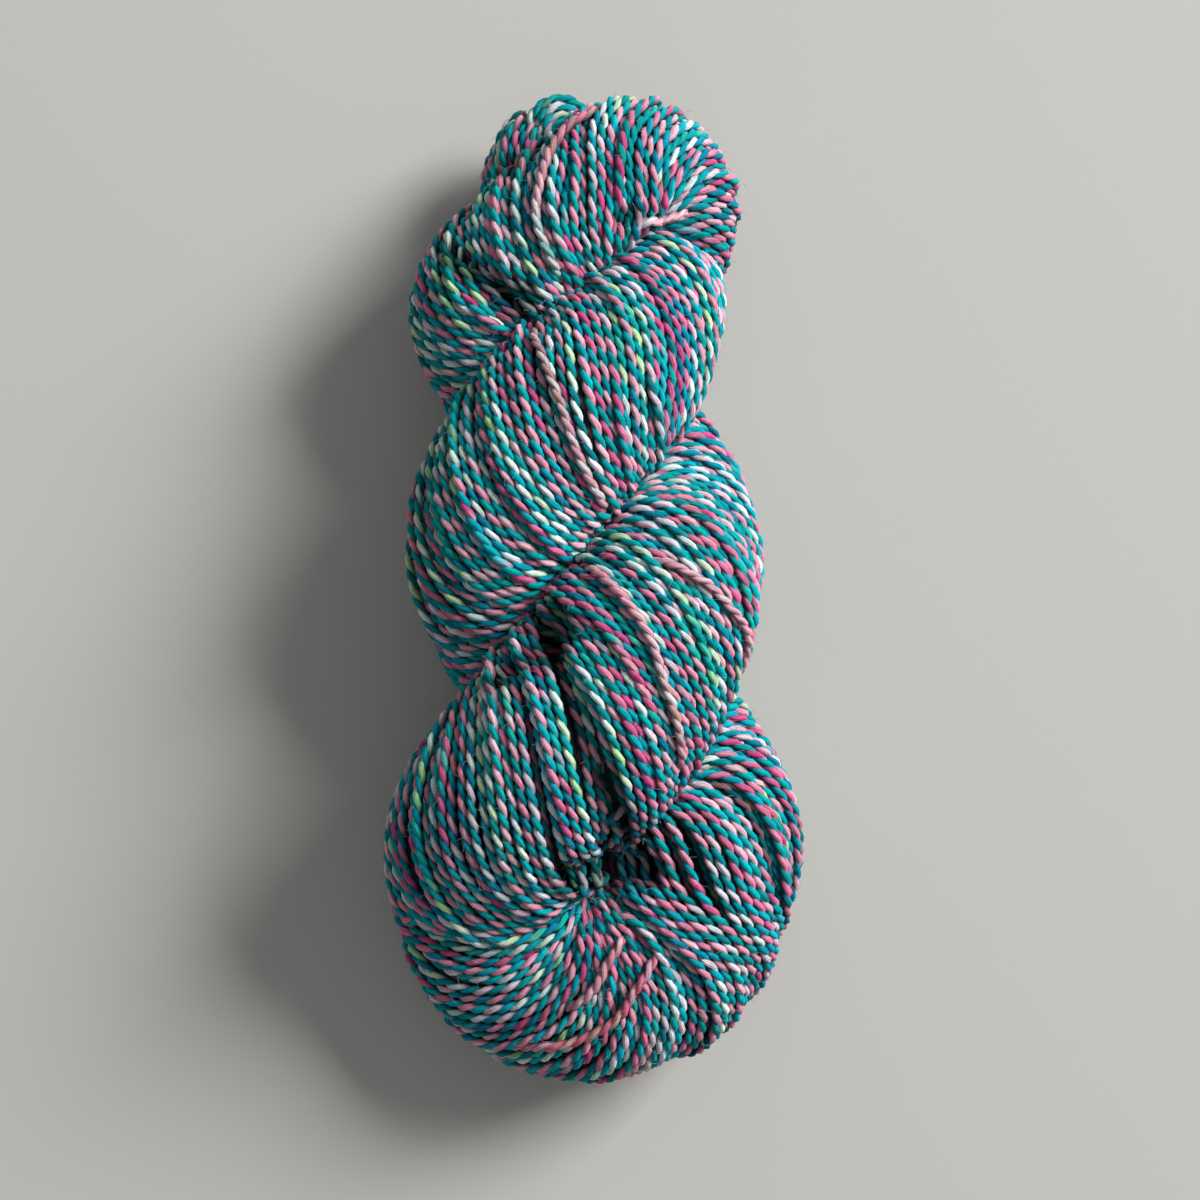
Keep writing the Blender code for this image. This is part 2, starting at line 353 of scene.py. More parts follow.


# %% [markdown]
# ## How thick, how many
# The yarn is taken as a chunky two-ply, 2.7 mm through, whose plies make one turn in about 8 mm. A real
# skein is strands right through, but only the outermost show, so two layers are laid: the deeper one
# fills the gaps of the outer one and is painted darker as shade, and what lies under both is a core painted
# near-black as shadow. The counts also keep the meshes to a size that can be handled.

# %% The two layers of strands
YARN = 2.7
PITCH = 7.6
Layer = namedtuple("Layer", "count depth")
LAYERS = (
    Layer(36, 1.35),
    Layer(22, 3.9),
)
POINT_STEP = 1.5
TIP_MARGINS = (0.6, 4.5, 2.5, 5.5)  # mm; strands stop in turn, as there is no room for all at the tip
HIDDEN = (0.86, 0.92)  # by layer; a point nearer than this share of another stretch's reach can't be seen
FAR_ALONG = 38.0  # mm along the bundle before a stretch counts as another one
SHORTEST_RUN = 6
WANDER_EVERY = 28.0  # mm between places where a strand changes its mind
WANDER = 0.07  # radians round the bundle
LIFT = 0.6  # mm up and down
rng = np.random.default_rng(7)


def resampled(points, columns, step):
    """The line of points and its columns at even steps."""
    run = run_along(points)
    at = np.linspace(0, run[-1], max(2, round(run[-1] / step) + 1))
    both = np.column_stack([points, columns])
    both = np.stack([np.interp(at, run, column) for column in both.T], 1)
    return both[:, :3], both[:, 3:]


def share_of_other(points, along):
    """How near each point is to the middle of another stretch of the bundle: 1 at that stretch's skin."""
    every = slice(None, None, 5)
    centre, out, across, reach = (part[every] for part in bundle[1:5])
    square = ((points[:, None] - centre[None]) ** 2).sum(2)
    square[np.abs(along[:, None] - bundle.along[None, every]) < FAR_ALONG] = np.inf
    nearest = square.argmin(1)
    arm = points - centre[nearest]
    angle = np.arctan2((arm * across[nearest]).sum(1), (arm * out[nearest]).sum(1))
    return np.sqrt(square[np.arange(len(points)), nearest]) / reach_at(reach[nearest], angle)


# %% [markdown]
# ## Only what shows
# Where the two halves press together the strands can't be seen, so a strand is kept as a number of runs,
# each of which comes up from between the halves, crosses the open surface and dives again.

# %% Cut the strands into the runs that show
Run = namedtuple("Run", "points outward layer pale")


def cut_to_runs(around, depth, number, margin):
    """The runs that show of one strand, which stops this far from the bundle's tips."""
    points, outward = on_bundle(bundle.along, around, depth)
    points, columns = resampled(points, np.column_stack([bundle.along, outward]), POINT_STEP)
    shows = share_of_other(points, columns[:, 0]) > HIDDEN[number]
    shows &= columns[:, 0] > margin
    shows &= columns[:, 0] < bundle.along[-1] - margin
    edges = np.flatnonzero(np.diff(np.concatenate([[0], shows.astype(int), [0]])))
    runs = []
    for first, last in zip(edges[::2], edges[1::2]):
        if last - first >= SHORTEST_RUN:
            runs.append(Run(points[first:last], columns[first:last, 1:], number, 0.0))
    return runs


def wandering(size):
    """A slow wander along the whole bundle."""
    knots = np.linspace(0, bundle.along[-1], round(bundle.along[-1] / WANDER_EVERY))
    values = rng.normal(0, size, (len(knots), 1))
    return through_rows(knots, values, bundle.along)[:, 0]


runs = []
for number, layer in enumerate(LAYERS):
    for k in range(layer.count):
        around = math.tau * (k + 0.5 * number) / layer.count + wandering(WANDER)
        depth = layer.depth + wandering(LIFT)
        runs += cut_to_runs(around, depth, number, TIP_MARGINS[k % len(TIP_MARGINS)])

# %% [markdown]
# A few strands have worked loose and cross the others. Each is a row of places along and angles round
# the bundle, with how far it is lifted off the skin; its ends dive back in. Small nested loops close the
# tucked end, where the strands turn back.

# %% The loose strands, and the small loops over the tucked end
Place = namedtuple("Place", "along around lift")
LOOSE = (
    (
        Place(322, 204, -2.5),
        Place(317, 209, 0.8),
        Place(312, 200, 2.0),
        Place(306, 184, 2.4),
        Place(300, 162, 2.5),
        Place(295, 144, 2.4),
        Place(288, 110, 1.0),
        Place(281, 72, -2.0),
    ),
    (
        Place(312, 222, -2.5),
        Place(308, 211, 1.2),
        Place(300, 190, 1.6),
        Place(290, 142, 1.2),
        Place(284, 112, -2.5),
    ),
    (
        Place(604, 240, -2.0),
        Place(597, 214, 1.0),
        Place(588, 176, 1.6),
        Place(580, 160, 1.8),
        Place(574, 162, 1.6),
        Place(569, 170, -2.5),
    ),
    (
        Place(588, 276, -2.0),
        Place(592, 300, 1.4),
        Place(598, 352, 1.8),
        Place(612, 420, 1.6),
        Place(620, 452, -1.5),
    ),
    (
        Place(101, 4, -2.0),
        Place(105, -4, 1.2),
        Place(110, -12, 1.8),
        Place(117, -14, 1.8),
        Place(122, -13, 1.0),
        Place(127, -12, -2.0),
    ),
    (
        Place(440, 336, -2.0),
        Place(435, 336, 1.2),
        Place(426, 330, 1.8),
        Place(418, 321, 1.6),
        Place(412, 318, 0.5),
        Place(408, 316, -2.5),
    ),
    (
        Place(440, 20, -2.0),
        Place(440, 40, 1.2),
        Place(439, 84, 1.6),
        Place(437, 108, 1.0),
        Place(434, 130, -2.0),
    ),
)


def loose_run(places):
    """One loose strand as a run of its own."""
    rows = np.array(places, float)
    knots = np.arange(len(rows))
    along, around, lift = through_rows(knots, rows, np.linspace(0, len(rows) - 1, 120)).T
    points, outward = on_bundle(along, np.radians(around), LAYERS[0].depth - lift)
    points, outward = resampled(points, outward, POINT_STEP)
    return Run(points, outward, 0, 1.0)


Spot = namedtuple("Spot", "x y z")  # a place on the round rope
LOOP = (
    Spot(-19, 113, -2),
    Spot(-17.5, 121, 4),
    Spot(-14.5, 126.5, 6),
    Spot(-9.5, 128.8, 6.5),
    Spot(-5, 127, 5.5),
    Spot(-2, 122, 3),
    Spot(-1, 115, -3),
)
LOOP_MIDDLE = np.array((-9.5, 115.0, 0.0))
LOOP_SIZES = (1.0, 0.82, 0.64, 0.46)
LOOP_RISE = 2.2  # mm that each smaller loop stands higher


def loop_run(number):
    """One of the nested loops over the tucked end, by places on the round rope."""
    rows = LOOP_MIDDLE + LOOP_SIZES[number] * (np.array(LOOP) - LOOP_MIDDLE)
    rows[:, 2] += LOOP_RISE * number
    points = through_rows(np.arange(len(rows)), rows, np.linspace(0, len(rows) - 1, 90))
    points, outward = resampled(points, np.tile((0.0, 0.0, 1.0), (len(points), 1)), POINT_STEP)
    return Run(points, outward, 0, 0.0)


runs += [loose_run(places) for places in LOOSE]
runs += [loop_run(number) for number in range(len(LOOP_SIZES))]
length = sum(run_along(run.points)[-1] for run in runs)
print(len(runs), "runs,", round(length / 1000, 1), "m of yarn shows")

# %% [markdown]
# ## Strands give way to each other
# Evenly spaced lines pass through one another where the bundle narrows, and real strands can't. So each
# point pushes away any point of another strand that is too near. The pushes are smoothed along the
# strand, because yarn doesn't kink, and each strand stays near the skin. There isn't room for all of
# them everywhere, so some still overlap. A grid of cells finds the near pairs, which keeps the work small.

# %% Find the points that are near each other
CLOSE = 2.6  # mm between two strands that press together: a little under the yarn's thickness
ROUNDS = 48
PAIRS_EVERY = 8
PAIRS_REACH = 1.25  # pairs are looked for this much further off than CLOSE, so that they last a while
SAME_RUN = 6  # points of one strand that may be near each other
INWARD, OUTWARD = -1.0, 1.6  # mm that a strand may leave its own depth
PUSH = 1.2  # a little more than the overlap, so that the pushes settle sooner
HOLD = 0.93  # of its rise off the skin, what a strand keeps each round
EVENNESS = 0.35  # of the way that a point moves towards its neighbours' middle


def near_pairs(points, strand, order, cut):
    """Every pair of points nearer than cut that isn't simply two neighbours on one strand."""
    cell = np.floor((points - points.min(0)) / cut).astype(np.int64) + 1
    size = cell.max(0) + 2
    weight = np.array((size[1] * size[2], size[2], 1))
    key = cell @ weight
    ranked = np.argsort(key, kind="stable")
    ranked_key = key[ranked]
    index = np.arange(len(points))
    first, second = [], []
    steps = [(x, y, z) for x in (-1, 0, 1) for y in (-1, 0, 1) for z in (-1, 0, 1)]
    for offset in [step for step in steps if step >= (0, 0, 0)]:
        wanted = key + np.array(offset) @ weight
        low = np.searchsorted(ranked_key, wanted, "left")
        count = np.searchsorted(ranked_key, wanted, "right") - low
        a = np.repeat(index, count)
        start = np.repeat(low - np.concatenate([[0], np.cumsum(count)[:-1]]), count)
        b = ranked[np.arange(len(a)) + start]
        if offset == (0, 0, 0):
            once = a < b
            a, b = a[once], b[once]
        apart = (strand[a] != strand[b]) | (np.abs(order[a] - order[b]) > SAME_RUN)
        a, b = a[apart], b[apart]
        near = ((points[a] - points[b]) ** 2).sum(1) < cut * cut
        first.append(a[near])
        second.append(b[near])
    return np.concatenate(first), np.concatenate(second)


def smoothed(values, linked, times):
    """Values evened out between linked neighbours."""
    for _ in range(times):
        total = np.zeros_like(values)
        count = np.zeros(len(values))
        total[1:][linked] += values[:-1][linked]
        total[:-1][linked] += values[1:][linked]
        count[1:][linked] += 1
        count[:-1][linked] += 1
        values = values + EVENNESS * (total / np.maximum(count, 1)[:, None] - values) * (count > 0)[:, None]
    return values


# %% Press the strands together
def pressed(points, outward, strand, order):
    """The points moved apart as far as there is room."""
    linked = strand[1:] == strand[:-1]
    moved = np.zeros_like(points)
    for step in range(ROUNDS):
        now = points + moved
        if step % PAIRS_EVERY == 0:
            a, b = near_pairs(now, strand, order, CLOSE * PAIRS_REACH)
        apart = now[a] - now[b]
        distance = np.sqrt((apart**2).sum(1)) + 1e-9
        hit = distance < CLOSE
        push = (0.5 * (CLOSE - distance[hit]) / distance[hit])[:, None] * apart[hit]
        a_hit, b_hit = a[hit], b[hit]
        total = np.empty_like(points)
        for axis in range(3):
            total[:, axis] = np.bincount(a_hit, push[:, axis], len(points))
            total[:, axis] -= np.bincount(b_hit, push[:, axis], len(points))
        count = np.bincount(a_hit, minlength=len(points)) + np.bincount(b_hit, minlength=len(points))
        moved += PUSH * total / np.maximum(count, 1)[:, None]
        moved = smoothed(moved, linked, 2)
        rise = (moved * outward).sum(1)
        moved += (np.clip(HOLD * rise, INWARD, OUTWARD) - rise)[:, None] * outward
        low = YARN / 2 - points[:, 2] - moved[:, 2]
        moved[:, 2] += np.maximum(low, 0.0)
    return points + moved


strand = np.repeat(np.arange(len(runs)), [len(run.points) for run in runs])
order = np.concatenate([np.arange(len(run.points)) for run in runs])
points = opened(settled(np.concatenate([run.points for run in runs])) + SHIFT)
outward = np.concatenate([run.outward for run in runs]) / (1, 1, SQUASH)
outward /= np.linalg.norm(outward, axis=1)[:, None]
points = pressed(points, outward, strand, order)
print(len(points), "points of", len(runs), "runs; lowest", points[:, 2].min().round(2), "mm")


# %% [markdown]
# ## Adding nodes
# Node trees are built one node at a time. One small function adds a node, sets it and links it, whatever
# its kind, so that each tree below reads as a list of what it does.

# %% One function for every node
def linear(colour):
    """A six-digit sRGB colour as the linear RGBA that a shader wants."""
    parts = [int(colour[i : i + 2], 16) / 255 for i in (0, 2, 4)]
    return (*[part / 12.92 if part <= 0.04045 else ((part + 0.055) / 1.055) ** 2.4 for part in parts], 1.0)


def add_node(tree, kind, sockets=None, output=0, stops=(), **settings):
    """Adds a node and gives one of its outputs, or with None the node itself.

    A socket, by name or number, takes a value, another node's output, or a list of outputs to join."""
    node = tree.nodes.new(kind)
    for name, value in settings.items():
        setattr(node, name, value)
    for name, value in (sockets or {}).items():
        if isinstance(value, (bpy.types.NodeSocket, list)):
            for source in value if isinstance(value, list) else [value]:
                tree.links.new(source, node.inputs[name])
        else:
            node.inputs[name].default_value = value
    for count, (place, colour) in enumerate(stops):
        elements = node.color_ramp.elements
        element = elements[count] if count < len(elements) else elements.new(place)
        element.position = place
        element.color = linear(colour)
    return node if output is None else node.outputs[output]


# %% [markdown]
# ## The wool
# Yarn of this look is usually soft wool, spun as two singles and plied, with each dyed by hand. It is
# matt, because its surface is thousands of fibres that scatter light, with a soft sheen at grazing
# angles. One ply stays in teals, the other wanders through rose, peach, pale green and undyed white, so
# the twist shows as a barber's pole. Colours change slowly along a strand, over about a hand's width.

# %% The dyes, as places along a ramp and sRGB colours
TEALS = (
    (0.00, "00646E"),
    (0.20, "008892"),
    (0.40, "00B0B2"),
    (0.55, "00B8C8"),
    (0.70, "0086A6"),
    (0.82, "00A2A4"),
    (0.94, "20D8CA"),
    (1.00, "FFB0C4"),
)
PINKS = (
    (0.00, "00A6A8"),
    (0.15, "24CCBE"),
    (0.21, "BEEFA8"),
    (0.28, "E4FAE4"),
    (0.36, "EAF6FF"),
    (0.45, "F6C6D6"),
    (0.56, "F2A0B8"),
    (0.68, "EA84A8"),
    (0.78, "DA5092"),
    (0.84, "F0A4C2"),
    (0.90, "40CAD6"),
    (1.00, "009EB8"),
)
UNDYED = (
    (0.00, "E6708E"),
    (0.35, "EE94AA"),
    (0.62, "F6C4CE"),
    (0.85, "F0EEF0"),
    (1.00, "9FE8D8"),
)


# %% The wool's material
COLOUR_RUN = 0.075  # m of yarn over which a dyed colour changes
FIBRE_ACROSS = 0.00024  # m between the fibre bundles that show; single fibres are ten times finer
FIBRE_ALONG = 0.0035  # m that a fibre bundle runs before it dives
SPREAD = {"From Min": 0.28, "From Max": 0.72}  # noise bunches about a half; this fills the ramp
TEAL_LANE, PINK_LANE = (91.7, 3.0), (57.3, 40.0)  # where in the noise each ply reads, so they differ
SEED_STEP = 500.0  # how far apart two strands read the fibre noise
PALE_SECOND_PLY = 0.7  # how undyed the second ply of a loose strand is
# Painted shade: the wool's colour is darkened in the hollows and under the outer strands, where shade falls.
PAINTED_UNDER_SHADE = 0.65  # how much darker the wool is in a hollow or under the outer strands


def hand_dyed_wool():
    """Matt two-ply wool: the attribute ply says which ply, and along how far down the strand."""
    material = bpy.data.materials.new("hand_dyed_wool")
    material.use_nodes = True
    tree = material.node_tree
    node = partial(add_node, tree)
    shader = tree.nodes["Principled BSDF"]
    read = {}
    for name in ("along", "seed", "ply", "pale", "cross_x", "cross_y", "rise", "deep"):
        read[name] = node("ShaderNodeAttribute", output="Fac", attribute_name=name)
    along_dye = node("ShaderNodeMath", {0: read["along"], 1: COLOUR_RUN}, operation="DIVIDE")
    dye = {}
    for ply, (lane, level) in (("teal", TEAL_LANE), ("pink", PINK_LANE)):
        across = node("ShaderNodeMath", {0: read["seed"], 1: lane}, operation="MULTIPLY")
        place = node("ShaderNodeCombineXYZ", {0: along_dye, 1: across, 2: level})
        noise = {"Vector": place, "Scale": 1.0, "Detail": 2.0, "Roughness": 0.5}
        value = node("ShaderNodeTexNoise", noise, "Fac")
        dye[ply] = node("ShaderNodeMapRange", {"Value": value, **SPREAD})
    second_pale = {0: read["pale"], 1: PALE_SECOND_PLY}
    paleness = (read["pale"], node("ShaderNodeMath", second_pale, operation="MULTIPLY"))
    plies = []
    for name, stops, pale in zip(dye, (TEALS, PINKS), paleness):
        dyed = node("ShaderNodeValToRGB", {0: dye[name]}, "Color", stops)
        undyed = node("ShaderNodeValToRGB", {0: dye[name]}, "Color", UNDYED)
        plies.append(node("ShaderNodeMix", {0: pale, 6: dyed, 7: undyed}, 2, data_type="RGBA"))
    dyed = node("ShaderNodeMix", {0: read["ply"], 6: plies[0], 7: plies[1]}, 2, data_type="RGBA")

    # fibre bundles run along the ply, so the noise is stretched that way
    x = node("ShaderNodeMath", {0: read["cross_x"], 1: FIBRE_ACROSS}, operation="DIVIDE")
    y = node("ShaderNodeMath", {0: read["cross_y"], 1: FIBRE_ACROSS}, operation="DIVIDE")
    run = node("ShaderNodeMath", {0: read["along"], 1: FIBRE_ALONG}, operation="DIVIDE")
    apart = node("ShaderNodeMath", {0: read["seed"], 1: SEED_STEP}, operation="MULTIPLY")
    run = node("ShaderNodeMath", {0: run, 1: apart}, operation="ADD")
    place = node("ShaderNodeCombineXYZ", {0: x, 1: y, 2: run})
    noise = {"Vector": place, "Scale": 1.0, "Detail": 3.0, "Roughness": 0.6}
    fibres = node("ShaderNodeTexNoise", noise, "Fac")
    spread = {"Value": fibres, "From Min": 0.3, "From Max": 0.7, "To Min": 0.5, "To Max": 1.42}
    fibre_tone = node("ShaderNodeMapRange", spread)

    # painted shade: the colour is darkened at each strand's edges and between strands, and more under the
    # outer strands and in the hollows
    rise = {"Value": read["rise"], "From Min": -0.2, "From Max": 0.6, "To Min": 0.3, "To Max": 1.0}
    painted_edge_shade = node("ShaderNodeMapRange", rise)
    strand_tone = node("ShaderNodeTexWhiteNoise", {"W": read["seed"]}, "Value", noise_dimensions="1D")
    strand_tone = node("ShaderNodeMapRange", {"Value": strand_tone, "To Min": 0.8, "To Max": 1.18})
    under = {0: read["deep"], 1: -PAINTED_UNDER_SHADE, 2: 1.0}
    dark = node("ShaderNodeMath", under, operation="MULTIPLY_ADD")
    tone = node("ShaderNodeMath", {0: fibre_tone, 1: painted_edge_shade}, operation="MULTIPLY")
    shade = node("ShaderNodeMath", {0: strand_tone, 1: dark}, operation="MULTIPLY")
    tone = node("ShaderNodeMath", {0: tone, 1: shade}, operation="MULTIPLY")
    grey = node("ShaderNodeCombineXYZ", {0: tone, 1: tone, 2: tone})
    whole = {0: 1.0, 6: dyed, 7: grey}
    colour = node("ShaderNodeMix", whole, 2, data_type="RGBA", blend_type="MULTIPLY")
    bump = node("ShaderNodeBump", {"Strength": 1.0, "Distance": 0.0004, "Height": fibres})
    tree.links.new(colour, shader.inputs["Base Color"])
    tree.links.new(bump, shader.inputs["Normal"])
    shader.inputs["Roughness"].default_value = 0.82
    shader.inputs["IOR"].default_value = 1.55
    shader.inputs["Specular IOR Level"].default_value = 0.08
    shader.inputs["Sheen Weight"].default_value = 0.03
    shader.inputs["Sheen Roughness"].default_value = 0.45
    return material


wool = hand_dyed_wool()
print("made", wool.name, "with", len(wool.node_tree.nodes), "nodes")

# %% [markdown]
# ## Spinning a strand
# A two-ply yarn is two soft singles wound round each other. Each single is a round tube whose middle
# runs on a helix, and the two press together where they touch. The tree takes lines of points, sets
# even steps along them, moves one copy to one side of the helix and one to the other, and sweeps a
# circle along both. Which ply a tube belongs to is stored, so that the material can dye it.

# %% The yarn-spinning tree
Detail = namedtuple("Detail", "sides rings")
DETAIL = (Detail(5, 6), Detail(4, 3))
PLY = 1.78
PLY_ORBIT = 0.56


def new_tree(name, inputs):
    """An empty Geometry Nodes tree with these inputs, ready to be filled."""
    tree = bpy.data.node_groups.new(name, "GeometryNodeTree")
    for label, kind in inputs.items():
        tree.interface.new_socket(label, in_out="INPUT", socket_type="NodeSocket" + kind)
    tree.interface.new_socket("Geometry", in_out="OUTPUT", socket_type="NodeSocketGeometry")
    node = partial(add_node, tree)
    return tree, node, node("NodeGroupInput", output=None).outputs


SPINNER_INPUTS = {
    "Geometry": "Geometry",
    "Ply Thickness": "Float",
    "Orbit": "Float",
    "Pitch": "Float",
    "Sides": "Int",
    "Rings per Turn": "Int",
    "Material": "Material",
}
READ, KEEP = "GeometryNodeInputNamedAttribute", "GeometryNodeStoreNamedAttribute"


def yarn_spinner():
    """A tree that spins every line of points into two-ply yarn."""
    tree, node, given = new_tree("spin_two_ply_yarn", SPINNER_INPUTS)
    radius = node("ShaderNodeMath", {0: given["Ply Thickness"], 1: 0.5}, operation="MULTIPLY")
    circle = {"Resolution": given["Sides"], "Radius": radius}
    section = node("GeometryNodeCurvePrimitiveCircle", circle, "Curve")
    split = node("ShaderNodeSeparateXYZ", {0: node("GeometryNodeInputPosition")}, None).outputs
    for name, value in (("cross_x", split[0]), ("cross_y", split[1])):
        section = node(KEEP, {"Geometry": section, "Name": name, "Value": value}, data_type="FLOAT")

    lines = node("GeometryNodeMeshToCurve", {"Mesh": given["Geometry"]})
    ring_gap = {0: given["Pitch"], 1: given["Rings per Turn"]}
    ring_gap = node("ShaderNodeMath", ring_gap, operation="DIVIDE")
    lines = node("GeometryNodeResampleCurve", {"Curve": lines, "Length": ring_gap}, mode="LENGTH")
    outward = node(READ, {"Name": "outward"}, data_type="FLOAT_VECTOR")
    tangent = node("GeometryNodeInputTangent")
    sideways = node("ShaderNodeVectorMath", {0: tangent, 1: outward}, operation="CROSS_PRODUCT")
    sideways = node("ShaderNodeVectorMath", {0: sideways}, operation="NORMALIZE")
    upward = node("ShaderNodeVectorMath", {0: sideways, 1: tangent}, operation="CROSS_PRODUCT")
    along = node(READ, {"Name": "along"}, data_type="FLOAT")
    turns = node("ShaderNodeMath", {0: along, 1: given["Pitch"]}, operation="DIVIDE")
    place = node("GeometryNodeInputPosition")
    centre = {"Geometry": lines, "Name": "centre", "Value": place}
    lines = node(KEEP, centre, data_type="FLOAT_VECTOR")
    phase = node(READ, {"Name": "phase"}, data_type="FLOAT")

    plies = []
    for ply, half_turn in enumerate((0.0, math.pi)):
        start = node("ShaderNodeMath", {0: phase, 1: half_turn}, operation="ADD")
        angle = node("ShaderNodeMath", {0: turns, 1: -math.tau, 2: start}, operation="MULTIPLY_ADD")
        high = node("ShaderNodeMath", {0: angle}, operation="COSINE")
        wide = node("ShaderNodeMath", {0: angle}, operation="SINE")
        up = node("ShaderNodeVectorMath", {0: upward, "Scale": high}, operation="SCALE")
        side = node("ShaderNodeVectorMath", {0: sideways, "Scale": wide}, operation="SCALE")
        offset = node("ShaderNodeVectorMath", {0: up, 1: side}, operation="ADD")
        offset = {0: offset, "Scale": given["Orbit"]}
        offset = node("ShaderNodeVectorMath", offset, operation="SCALE")
        moved = node("GeometryNodeSetPosition", {"Geometry": lines, "Offset": offset})
        label = {"Geometry": moved, "Name": "ply", "Value": float(ply)}
        plies.append(node(KEEP, label, data_type="FLOAT"))
    plies = node("GeometryNodeJoinGeometry", {0: plies})
    girth = node(READ, {"Name": "girth"}, data_type="FLOAT")
    sweep = {"Curve": plies, "Profile Curve": section, "Scale": girth, "Fill Caps": True}
    yarn = node("GeometryNodeCurveToMesh", sweep)

    # how far each point stands out from the yarn's middle, from which the material paints shade at strand
    # edges and between strands
    centre = node(READ, {"Name": "centre"}, data_type="FLOAT_VECTOR")
    arm = node("ShaderNodeVectorMath", {0: place, 1: centre}, operation="SUBTRACT")
    height = node("ShaderNodeVectorMath", {0: arm, 1: outward}, "Value", operation="DOT_PRODUCT")
    most = node("ShaderNodeMath", {0: given["Orbit"], 1: radius}, operation="ADD")
    rise = node("ShaderNodeMath", {0: height, 1: most}, operation="DIVIDE")
    yarn = node(KEEP, {"Geometry": yarn, "Name": "rise", "Value": rise}, data_type="FLOAT")
    yarn = node("GeometryNodeSetShadeSmooth", {"Geometry": yarn})
    yarn = node("GeometryNodeRealizeInstances", {"Geometry": yarn})
    yarn = node("GeometryNodeSetMaterial", {"Geometry": yarn, "Material": given["Material"]})
    node("NodeGroupOutput", {"Geometry": yarn}, None)
    return tree


spinner = yarn_spinner()
print("made", spinner.name, "with", len(spinner.nodes), "nodes")

# %% What every point of a strand carries
GIRTH_VARIES = 0.07
GIRTH_EVERY = 12  # points between places where the thickness changes
arc = np.concatenate([run_along(points[strand == k]) for k in range(len(runs))])
lengths = np.array([arc[strand == k][-1] for k in range(len(runs))])
heights = np.array([points[strand == k, 1].mean() for k in range(len(runs))])
layer_of = np.array([run.layer for run in runs])
knots = np.arange(0, len(arc) + GIRTH_EVERY, GIRTH_EVERY)
bumpy = np.interp(np.arange(len(arc)), knots, rng.normal(0, GIRTH_VARIES, len(knots)))
carried = {
    "along": arc * MM,
    "phase": (rng.random(len(runs)) * math.tau)[strand],
    "seed": rng.random(len(runs))[strand],
    "pale": np.array([run.pale for run in runs])[strand],
    "girth": 1.0 + bumpy,
    # painted shade: 1 for the inner layer, and up to 1 in and round the hollows; the material darkens the
    # wool's colour by it
    "deep": np.maximum(layer_of[strand] > 0, shaded(points)),
}


# %% Spin a group of runs into one piece
def line_mesh(name, chosen):
    """The chosen runs as lines of points that carry what the tree needs."""
    which = np.concatenate([np.flatnonzero(strand == run) for run in chosen])
    linked = np.flatnonzero(strand[which][1:] == strand[which][:-1])
    mesh = bpy.data.meshes.new(name + "_lines")
    mesh.vertices.add(len(which))
    mesh.edges.add(len(linked))
    mesh.vertices.foreach_set("co", (points[which] * MM).ravel())
    mesh.edges.foreach_set("vertices", np.column_stack([linked, linked + 1]).ravel())
    for label, values in carried.items():
        stored = mesh.attributes.new(label, "FLOAT", "POINT")
        stored.data.foreach_set("value", values[which].astype(np.float32))
    stored = mesh.attributes.new("outward", "FLOAT_VECTOR", "POINT")
    stored.data.foreach_set("vector", outward[which].astype(np.float32).ravel())
    return mesh


def made_piece(name, start, tree, values):
    """A plain mesh object of what the tree makes of the starting mesh."""
    ob = bpy.data.objects.new(name, start)
    bpy.context.scene.collection.objects.link(ob)
    modifier = ob.modifiers.new("make", "NODES")
    modifier.node_group = tree
    for item in tree.interface.items_tree:
        if item.in_out == "INPUT" and item.name in values:
            modifier[item.identifier] = values[item.name]
    evaluated = ob.evaluated_get(bpy.context.evaluated_depsgraph_get())
    ob.data = bpy.data.meshes.new_from_object(evaluated)
    ob.modifiers.clear()
    ob.data.name = name
    bpy.data.meshes.remove(start)
    return ob


def spun(name, chosen, detail):
    """One piece of yarn, spun from the chosen runs."""
    values = {
        "Ply Thickness": PLY * MM,
        "Orbit": PLY_ORBIT * MM,
        "Pitch": PITCH * MM,
        "Sides": detail.sides,
        "Rings per Turn": detail.rings,
        "Material": wool,
    }
    return made_piece(name, line_mesh(name, chosen), spinner, values)


def triangle_count(ob):
    """How many triangles the piece's faces come to."""
    return sum(len(face.vertices) - 2 for face in ob.data.polygons)


ZONES = ("foot", "lower", "middle", "upper", "head")


def shared_out(chosen, count):
    """The chosen runs in groups of near equal length, from the foot of the hank to its head."""
    ranked = chosen[np.argsort(heights[chosen])]
    share = np.cumsum(lengths[ranked]) / lengths[ranked].sum()
    return np.split(ranked, np.searchsorted(share, np.arange(1, count) / count))


outer = np.flatnonzero(layer_of == 0)
inner = np.flatnonzero(layer_of == 1)
groups = shared_out(outer, len(ZONES))
pieces = [spun("strands_" + zone, group, DETAIL[0]) for zone, group in zip(ZONES, groups)]
pieces.append(spun("strands_under", inner, DETAIL[1]))
for ob in pieces:
    print(ob.name, "has", triangle_count(ob), "triangles")

# %% [markdown]
# ## Fuzz
# Wool is never clean-edged: a few fibre ends stand off every strand by a millimetre or two and soften
# the outline. Each is a thin bent tube. A tree sets one on each of a few thousand points picked from
# the outer strands, turned and sized at random.

# %% Fibre ends that stand off the strands
FUZZ_COUNT = 5400
FUZZ_LENGTH = 2.2
FUZZ_THICKNESS = 0.07
FUZZ_ABOVE = 6.0  # mm over the surface, below which no fibre shows
FUZZ_ROOT = 1.2  # mm out from a strand's middle, just under its skin


FUZZ_SIZES = (0.4, 1.3)
FUZZ_INPUTS = {
    "Geometry": "Geometry",
    "Length": "Float",
    "Thickness": "Float",
    "Seed": "Int",
    "Material": "Material",
}


